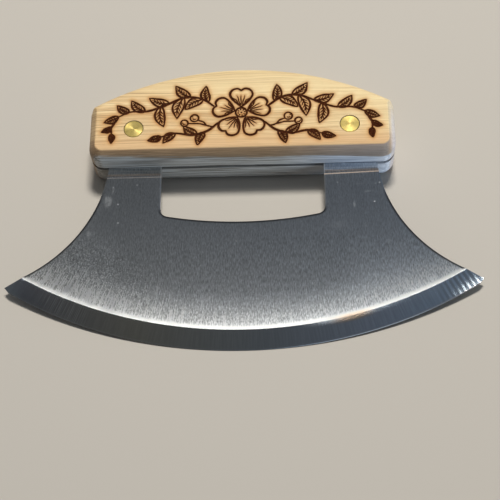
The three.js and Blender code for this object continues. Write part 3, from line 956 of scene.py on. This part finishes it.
def make_handle(material):
    outline = handle_outline()
    normals = loop_normals(outline)
    shell = Shell()

    def ring(inset, height):
        return lift(outline - normals * np.reshape(inset, (-1, 1)), height)

    # The edge is a quarter round at the back and along the top. The front's lower edge and ends
    # have been eased into an arc that leaves the face at one slope and meets the side at another.
    for face in (1, -1):
        plain = smoothstep(0.3, 0.9, normals[:, 1]) if face > 0 else np.ones(len(normals))
        start = EASED_START * (1 - plain)
        end = EASED_END + (math.pi / 2 - EASED_END) * plain
        radius = ROUNDOVER / (np.sin(end) - np.sin(start))
        angles = [end + (start - end) * share for share in np.linspace(0, 1, ROUNDOVER_STEPS + 1)]
        sizes = [(radius * (np.sin(end) - np.sin(angle)), radius * (np.cos(start) - np.cos(angle)))
                 for angle in angles]
        rings = [ring(0, face * SLOT_HALF), ring(0, face * (HANDLE_HALF - sizes[0][1]) / 2)]
        rings += [ring(inset, face * (HANDLE_HALF - drop)) for inset, drop in sizes]
        for first, second in zip(rings, rings[1:]):
            shell.strip(first, second)

    # Above the slot the two halves are one block. The slot is open along the bottom and the ends.
    above = outline[:, 1] > SLOT_DEPTH - 1e-6
    joined_spans = above & np.roll(above, -1)
    shell.strip(ring(0, SLOT_HALF), ring(0, -SLOT_HALF), joined_spans)
    below = outline[:, 1] < SLOT_DEPTH + 1e-6
    first = int(np.flatnonzero(below & ~np.roll(below, 1))[0])
    order = [(first + i) % len(outline) for i in range(int(below.sum()))]
    wall_loop = outline[order]
    ends = wall_loop[[0, -1]]
    roof = np.concatenate([lift(ends, SLOT_HALF), lift(ends[::-1], -SLOT_HALF)])
    shell.add(roof, [(0, 1, 2, 3)])
    shanks = rivet_circles(SHANK_HOLE_RADIUS)
    pockets = rivet_circles(POCKET_RADIUS)
    for face in (1, -1):
        flat, triangles = fill(wall_loop, shanks)
        shell.add(lift(flat, face * SLOT_HALF), triangles)
        for shank, pocket in zip(shanks, pockets):
            shell.strip(lift(shank, face * SLOT_HALF), lift(shank, face * POCKET_FLOOR))
            shell.strip(lift(shank, face * POCKET_FLOOR), lift(pocket, face * POCKET_FLOOR))
            shell.strip(lift(pocket, face * POCKET_FLOOR), lift(pocket, face * HANDLE_HALF))

    # Faces: plain at the back, and with the burnt grooves at the front.
    face_loop = outline - normals * ROUNDOVER
    support = [face_loop - normals * inset for inset in SUPPORT_INSETS]
    strokes = vine_pattern()
    back_points = clear_of(hexagon_grid(face_loop.min(axis=0), face_loop.max(axis=0), BACK_GRID),
                           face_loop, pockets, BACK_GAP)
    flat, triangles = fill(face_loop, pockets, [closed(s) for s in support], back_points)
    shell.add(lift(flat, -HANDLE_HALF), triangles)
    front_points = engraved_points(support[-1], pockets, strokes)
    flat, triangles = fill(face_loop, pockets, [closed(s) for s in support], front_points)
    border, across = stroke_field(flat, strokes)
    groove = GROOVE_DEPTH * smoothstep(*GROOVE_WALL, across)
    shell.add(lift(flat, HANDLE_HALF - groove), triangles)

    handle = shell.build("handle_wood", material, 25)
    points = knife_points(handle.data)
    border, across = stroke_field(points[:, :2], strokes)
    front = points[:, 2] > HANDLE_HALF - GROOVE_DEPTH - 0.05
    burn = np.where(front, smoothstep(*BURN_FADE, across), 0)
    scorch = np.where(front, np.exp(-np.maximum(border, 0) / SCORCH_REACH), 0)
    toast = np.where(front, smoothstep(*TOAST_FADE, border), 0)
    add_attributes(handle, burn=burn, scorch=scorch, toast=toast)
    return handle


# Blade

CROWN_WIDTH = 12.0
CROWN_DROP = 0.046
BUFFED_WIDTH = 2.2
BUFFED_DROP = 0.0255
ROLL_WIDTH = 0.36
ROLL_DROP = 0.10
RIM_WIDTH = 0.85
EDGE_CLEANUP_SLOPE = 0.21
BEVEL_END = 0.08
TIP_HOLLOW = 0.042
SCALLOP_PITCH = 1.7
LEFT_SCALLOPS = 0.16

# Rows of points on the blade, which its forms need: inside the stamped sides, past the shoulder,
# and above the cutting edge. Near the tips the rows on the bevel are finer, for the scallops.
ROLL_ROWS = (0.09, 0.2, ROLL_WIDTH, 0.6, 0.95)
SHOULDER_ROWS = (-CROWN_WIDTH, -10.6, -9, -7.2, -5.6, -4.4, -3.2, -2.7, -BUFFED_WIDTH, -1.8, -1.4,
                 -1.0, -0.6, -0.3, -0.1, -0.03, 0.07, 0.35, 0.9, 1.6, 2.4, 3.2, 4.0, 4.8, 5.5)
EDGE_ROWS = (0.12, 0.235, 0.35, 0.6)
ROW_STEP = 0.9
BEVEL_ROW_STEP = 0.21
FINE_ROWS_FROM = 47
ROWS_TO_SIDES = 1.1
FLAT_GRID = 2.6


def blade_outline(step=1.0):
    """Outline of the blade, anticlockwise from the lowest point of the cutting edge.

    Also says which points are on the stamped sides rather than on the cutting edge."""
    half = BLADE_SPAN / 2
    edge_end = -math.pi / 2 + math.asin((half - TIP_CHAMFER) / EDGE_RADIUS)
    tip_y = EDGE_CENTRE - math.sqrt(EDGE_RADIUS ** 2 - half ** 2) + TIP_GRIND
    side_run = half - TANG_OUTER
    side_rise = SIDE_RUNOUT - tip_y
    side_radius = (side_run ** 2 + side_rise ** 2) / (2 * side_run)
    side_centre = TANG_OUTER + side_radius
    side_angle = math.pi + math.acos((side_centre - half + TIP_CORNER) / side_radius)
    floor_centre = OPENING_FLOOR_RADIUS - OPENING_DEPTH
    fillet_x = TANG_INNER - OPENING_CORNER_RADIUS
    reach = OPENING_FLOOR_RADIUS - OPENING_CORNER_RADIUS
    fillet_y = floor_centre - math.sqrt(reach ** 2 - fillet_x ** 2)
    fillet_angle = math.atan2(fillet_y - floor_centre, fillet_x)
    corner = TANG_CORNER_RADIUS
    corner_y = TANG_TOP - corner
    fine = step / 3
    side = arc(side_centre, SIDE_RUNOUT, side_radius, side_angle, math.pi, step)
    edge = path(
        fine,
        arc(0, EDGE_CENTRE, EDGE_RADIUS, -math.pi / 2, edge_end, step / 2),
        (half, tip_y - TIP_CORNER_DROP),
        side[0],
    )
    right = path(
        step,
        edge,
        side,
        arc(TANG_OUTER - corner, corner_y, corner, 0, math.pi / 2, fine),
        arc(TANG_INNER + corner, corner_y, corner, math.pi / 2, math.pi, fine),
        arc(fillet_x, fillet_y, OPENING_CORNER_RADIUS, 0, fillet_angle, fine),
        arc(0, floor_centre, OPENING_FLOOR_RADIUS, fillet_angle, -math.pi / 2, step),
    )
    stamped = np.arange(len(right)) >= len(edge) - 1
    return mirrored_loop(right), np.concatenate([stamped, stamped[1:-1][::-1]])


def past_shoulder(points):
    """Distance of points past the line where the bevel starts, negative on the flat."""
    return np.hypot(points[:, 0], points[:, 1] - BEVEL_CENTRE) - BEVEL_RADIUS


def above_edge(points):
    return EDGE_RADIUS - np.hypot(points[:, 0], points[:, 1] - EDGE_CENTRE)


def blade_height(points, from_sides):
    """Height of the blade's face above its middle plane."""
    past = past_shoulder(points)
    above = np.maximum(above_edge(points), 0)
    crown = (CROWN_DROP * np.clip(1 + past / CROWN_WIDTH, 0, 1) ** 2
             + BUFFED_DROP * np.clip(1 + past / BUFFED_WIDTH, 0, 1) ** 2)
    share = np.clip(past / np.maximum(past + above, 1e-6), 0, 1)
    height = (BLADE_HALF - crown) * (1 - share) + BEVEL_END * share

    # Near the tips the wheel has left the bevel hollow and scalloped.
    x = points[:, 0]
    right = smoothstep(62, 71, x)
    left = smoothstep(48, 58, -x) * smoothstep(70, 62, -x)
    left = left * LEFT_SCALLOPS * np.sin(2 * math.pi * x / (SCALLOP_PITCH * 0.8))
    height -= TIP_HOLLOW * (right + left) * np.sin(math.pi * share) * (past > 0)
    height = np.minimum(height, EDGE_LAND / 2 + EDGE_CLEANUP_SLOPE * above)

    # The stamping die has rolled the border of the sides and of the finger opening.
    roll = ROLL_DROP * np.clip(1 - from_sides / ROLL_WIDTH, 0, 1) ** 2
    return height - roll * height / BLADE_HALF


def blade_rows(loop, sides):
    """Chains of points along the blade's features."""
    border = closed(loop)
    normals = loop_normals(loop)
    rows = []
    for inset in ROLL_ROWS:
        points = loop - normals * inset
        clear = np.abs(distance_to_chain(points, border) - inset) < inset * 0.04
        clear &= inside_loop(points, loop) & (distance_to_chain(points, sides) < inset * 1.05)
        rows.append((points, clear))
    arcs = [(BEVEL_RADIUS + past, BEVEL_CENTRE) for past in SHOULDER_ROWS]
    arcs += [(EDGE_RADIUS - above, EDGE_CENTRE) for above in EDGE_ROWS]
    for radius, centre in arcs:
        spread = math.asin(BLADE_SPAN / 2 / radius)
        on_bevel = radius > BEVEL_RADIUS
        points = arc(0, centre, radius, -math.pi / 2 - spread, -math.pi / 2 + spread,
                     BEVEL_ROW_STEP if on_bevel else ROW_STEP)
        if on_bevel:
            every_fourth = np.arange(len(points)) % 4 == 0
            points = points[every_fourth | (np.abs(points[:, 0]) > FINE_ROWS_FROM)]
        clear = inside_loop(points, loop) & (distance_to_chain(points, sides) > ROWS_TO_SIDES)
        clear &= distance_to_chain(points, border) > 0.1
        rows.append((points, clear))
    chains = []
    for points, keep in rows:
        start = 0
        for index in range(len(points) + 1):
            if index == len(points) or not keep[index]:
                if index - start > 1:
                    chains.append(points[start:index])
                start = index + 1
    return chains


def make_blade(material):
    loop, stamped = blade_outline()
    first = int(np.flatnonzero(stamped)[0])
    sides = loop[first:int(np.flatnonzero(stamped)[-1]) + 1]
    holes = rivet_circles(SHANK_HOLE_RADIUS)
    chains = blade_rows(loop, sides)
    grid = hexagon_grid(loop.min(axis=0), loop.max(axis=0), FLAT_GRID)
    grid = clear_of(grid, loop, holes, FLAT_GRID / 2)
    grid = grid[past_shoulder(grid) < -CROWN_WIDTH - 1]
    flat, triangles = fill(loop, holes, chains, grid)
    height = blade_height(flat, distance_to_chain(flat, sides))
    shell = Shell()
    shell.add(lift(flat, height), triangles)
    shell.add(lift(flat, -height), triangles)
    rim = blade_height(loop, distance_to_chain(loop, sides))
    shell.strip(lift(loop, rim), lift(loop, -rim))
    for hole in holes:
        shell.strip(lift(hole, BLADE_HALF), lift(hole, -BLADE_HALF))
    blade = shell.build("blade_steel", material, 28)
    points = knife_points(blade.data)
    to_side = distance_to_chain(points[:, :2], sides)
    across, height = np.abs(points[:, 0]), points[:, 1]
    inner = across < RIVET_SIDE
    # Masks for the colour: a painted dark reflection along the lower stamped sides, a painted glint
    # along the finger opening's border, and a pale speckled band on the lower left side, partly wear
    # and partly painted sheen.
    dark = np.where(inner, smoothstep(-15, -18, height), smoothstep(-9, -14, height))
    rim = dark * smoothstep(RIM_WIDTH, RIM_WIDTH * 0.4, to_side)
    lit = inner * (1 - dark) * smoothstep(0.45, 0.2, to_side)
    worn = ~inner * (points[:, 0] < 0) * smoothstep(-8, -14, height) * smoothstep(3.2, 0.8, to_side)
    add_attributes(blade, rim=rim, lit=lit, worn=worn)
    layer = blade.data.uv_layers.new(name="brush")
    corners = np.empty(len(blade.data.loops), int)
    blade.data.loops.foreach_get("vertex_index", corners)
    spread = np.column_stack([points[:, 0] + 0.7 * points[:, 2], points[:, 1]]) / BLADE_SPAN
    layer.data.foreach_set("uv", spread[corners].astype(np.float32).ravel())
    return blade


# Rivets

HEAD_UNDERSIDE = HANDLE_HALF - HEAD_THICKNESS
HEAD_DOME = 0.11
TURNING_PITCH = 0.42
TURNING_DEPTH = 0.012
PLAIN_RIM = 0.3
DIMPLE_WIDTH = 0.3
DIMPLE_DEPTH = 0.03
FACE_STEPS = 48
LATHE_STEPS = 96


def turned(name, material, side, profile):
    """Solid turned about the rivet's axis from [radius, height] pairs that end on the axis."""
    shell = Shell()

    def ring(radius, height):
        return lift(circle(side * RIVET_SIDE, RIVET_HEIGHT, radius, LATHE_STEPS), height)

    for (radius, height), (next_radius, next_height) in zip(profile, profile[1:]):
        if min(radius, next_radius) > 0:
            shell.strip(ring(radius, height), ring(next_radius, next_height))
            continue
        middle = (side * RIVET_SIDE, RIVET_HEIGHT, height if radius == 0 else next_height)
        rim = ring(max(radius, next_radius), next_height if radius == 0 else height)
        faces = [(i, (i + 1) % LATHE_STEPS, LATHE_STEPS) for i in range(LATHE_STEPS)]
        shell.add(np.concatenate([rim, [middle]]), faces)
    return shell.build(name, material)


def head_face():
    """The turned face of a rivet head, from its rim to the axis: low rings on a slight dome."""
    rim = HEAD_RADIUS - HEAD_CHAMFER
    radii = np.linspace(rim, 0, FACE_STEPS)
    rings = TURNING_DEPTH * (1 + np.cos(2 * math.pi * radii / TURNING_PITCH)) / 2
    dimple = DIMPLE_DEPTH * np.exp(-(radii / DIMPLE_WIDTH) ** 2)
    fade = smoothstep(rim, rim - PLAIN_RIM, radii)
    heights = HANDLE_HALF - HEAD_DOME * (radii / rim) ** 2 - rings * fade - dimple
    return list(zip(radii, heights))


def make_rivet(side, label, material):
    bore = POST_RADIUS + FIT_CLEARANCE
    tube_end = END_CLEARANCE - HEAD_UNDERSIDE
    face = head_face()
    shoulder = face[0][1] - HEAD_CHAMFER
    front = [(0, HEAD_UNDERSIDE), (bore, HEAD_UNDERSIDE), (bore, tube_end), (TUBE_RADIUS, tube_end),
             (TUBE_RADIUS, HEAD_UNDERSIDE), (HEAD_RADIUS, HEAD_UNDERSIDE), (HEAD_RADIUS, shoulder),
             *face]
    post_end = HEAD_UNDERSIDE - END_CLEARANCE
    back = [(0, post_end), (POST_RADIUS, post_end), (POST_RADIUS, -HEAD_UNDERSIDE),
            (HEAD_RADIUS, -HEAD_UNDERSIDE), (HEAD_RADIUS, -shoulder),
            *[(radius, -height) for radius, height in face]]
    for half, profile, node in (("front", front, "tube"), ("back", back, "post")):
        piece = turned(f"rivet_{label}_{half}", material, side, profile)
        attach(piece, "root")
        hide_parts(f"rivet_{label}_{node}")
        rivets_lit.objects.link(piece)


# Stage

VIEW_LENS = 86.4
VIEW_SENSOR = 36.0
VIEW_AZIMUTH = math.radians(-4.59)
VIEW_ELEVATION = math.radians(63.35)
VIEW_ROLL = math.radians(-5.34)
VIEW_TARGET = Vector((2.38, -31.38, 0))
VIEW_DISTANCE = 385.86


def make_camera():
    """The photograph's camera, fitted to the blade's arcs, the handle and the rivets."""
    facing = (Matrix.Rotation(-VIEW_AZIMUTH, 3, "Z")
              @ Matrix.Rotation(math.pi / 2 - VIEW_ELEVATION, 3, "X")
              @ Matrix.Rotation(VIEW_ROLL, 3, "Z"))
    place = VIEW_TARGET + facing @ Vector((0, 0, VIEW_DISTANCE))
    data = bpy.data.cameras.new("camera")
    data.sensor_fit = "HORIZONTAL"
    data.sensor_width = VIEW_SENSOR
    data.lens = VIEW_LENS
    data.clip_start = 0.01
    data.clip_end = 20
    camera = add_object("camera", data)
    camera.matrix_world = Matrix.Translation(origin + turn @ place * MM) @ (turn @ facing).to_4x4()
    bpy.context.scene.camera = camera


def place_lamp(name, place, rotation, width, height, power, colour, glossy=True, lit=None):
    """Area lamp. Its light reaches all pieces, or only those of the collection that is lit."""
    data = bpy.data.lights.new(name, "AREA")
    data.shape = "RECTANGLE"
    data.size = width
    data.size_y = height
    data.energy = power
    data.color = colour
    lamp = add_object(name, data)
    lamp.location = place
    lamp.rotation_euler = rotation
    lamp.visible_camera = False
    lamp.visible_glossy = glossy
    if lit is not None:
        lamp.light_linking.receiver_collection = lit


def make_lamp(name, azimuth, elevation, distance, **lamp):
    """Area lamp aimed at the knife. Azimuth 0 is behind it and 90 is on its right."""
    azimuth, elevation = math.radians(azimuth), math.radians(elevation)
    level = math.cos(elevation)
    towards = Vector((math.sin(azimuth) * level, math.cos(azimuth) * level, math.sin(elevation)))
    place_lamp(name, towards * distance, towards.to_track_quat("Z", "Y").to_euler(), **lamp)


# A thin bowed strip light above and a little behind the knife, which the bevel's shoulder mirrors.
STRIP_HEIGHT = 0.98
STRIP_MIDDLE = (-0.044, 0.167)
STRIP_BOW = 0.64
STRIP_THICKNESS = 0.028
STRIP_POWER_PER_METRE = 0.67
STRIP_SPAN = 0.78
STRIP_PIECES = 7

# A dim lamp overhead, which the honed cutting edge mirrors on the right.
EDGE_LIGHT = (0.17, -0.075, 1.0)


def make_strip():
    step = STRIP_SPAN / STRIP_PIECES
    for index in range(STRIP_PIECES):
        offset = (index + 0.5) * step - STRIP_SPAN / 2
        lean = math.atan(2 * STRIP_BOW * offset)
        length = step / math.cos(lean)
        place = (STRIP_MIDDLE[0] + offset, STRIP_MIDDLE[1] + STRIP_BOW * offset ** 2, STRIP_HEIGHT)
        place_lamp(f"strip_{index + 1}", place, (0, 0, lean), width=length, height=STRIP_THICKNESS,
                   power=STRIP_POWER_PER_METRE * length, colour=(1.0, 0.99, 0.96))


# The sky's colour, from the horizon and below to straight up, and its tint from left to right.
SKY = ((0.0, (0.32, 0.36, 0.42)), (0.30, (0.145, 0.16, 0.18)), (0.70, (0.083, 0.087, 0.094)),
       (0.93, (0.108, 0.112, 0.115)), (1.0, (0.083, 0.087, 0.094)))
LEFT_TINT = (1.00, 0.94, 0.86)
RIGHT_TINT = (1.00, 1.14, 1.36)
BACKDROP = (0.72, 0.71, 0.69, 1)
FLOOR_HALF = 3.0


def make_world():
    world = bpy.data.worlds.new("studio")
    g = Graph(world)
    direction = g.split(g.node("ShaderNodeTexCoord").outputs["Generated"])
    tint = g.mix(g.ease(direction["X"], -0.45, 0.55), LEFT_TINT, RIGHT_TINT)
    sky = g.tint(g.ramp(direction["Z"], *SKY), tint)
    light = g.node("ShaderNodeBackground", {"Color": sky}).outputs[0]
    shown = g.node("ShaderNodeBackground", {"Color": BACKDROP}).outputs[0]
    seen = g.node("ShaderNodeLightPath").outputs["Is Camera Ray"]
    switch = g.node("ShaderNodeMixShader", {0: seen, 1: light, 2: shown})
    g.node("ShaderNodeOutputWorld", {0: switch.outputs[0]})
    bpy.context.scene.world = world


def make_floor():
    mesh = bpy.data.meshes.new("floor")
    corners = [(x * FLOOR_HALF, y * FLOOR_HALF, 0) for x, y in ((-1, -1), (1, -1), (1, 1), (-1, 1))]
    mesh.from_pydata(corners, [], [(0, 1, 2, 3)])
    mesh.materials.append(floor_material())
    floor = add_object("floor", mesh)


rivets_lit = bpy.data.collections.new("rivets_lit")
handle_lit = bpy.data.collections.new("handle_lit")

make_camera()
make_world()
make_floor()
make_lamp("key", 14, 70, 1.2, width=0.26, height=0.20, power=11.6, colour=(1.0, 0.97, 0.92),
          glossy=False)
make_lamp("glint", 15, 73, 1.2, width=0.12, height=0.12, power=2.45, colour=(1.0, 0.97, 0.90),
          lit=rivets_lit)
make_strip()
place_lamp("edge", EDGE_LIGHT, (0, 0, 0), width=0.30, height=0.10, power=0.045,
           colour=(0.62, 0.80, 1.0))
make_lamp("fill", 128, 9, 0.5, width=0.25, height=0.12, power=1.6, colour=(0.66, 0.82, 1.0),
          glossy=False, lit=handle_lit)

blade = make_blade(steel_material())
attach(blade, "root")
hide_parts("blade")

handle = make_handle(wood_material())
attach(handle, "root")
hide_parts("handle")
handle_lit.objects.link(handle)

make_rivet(-1, "left", brass_material(-1))
make_rivet(1, "right", brass_material(1))

bpy.context.scene.view_settings.view_transform = "Standard"
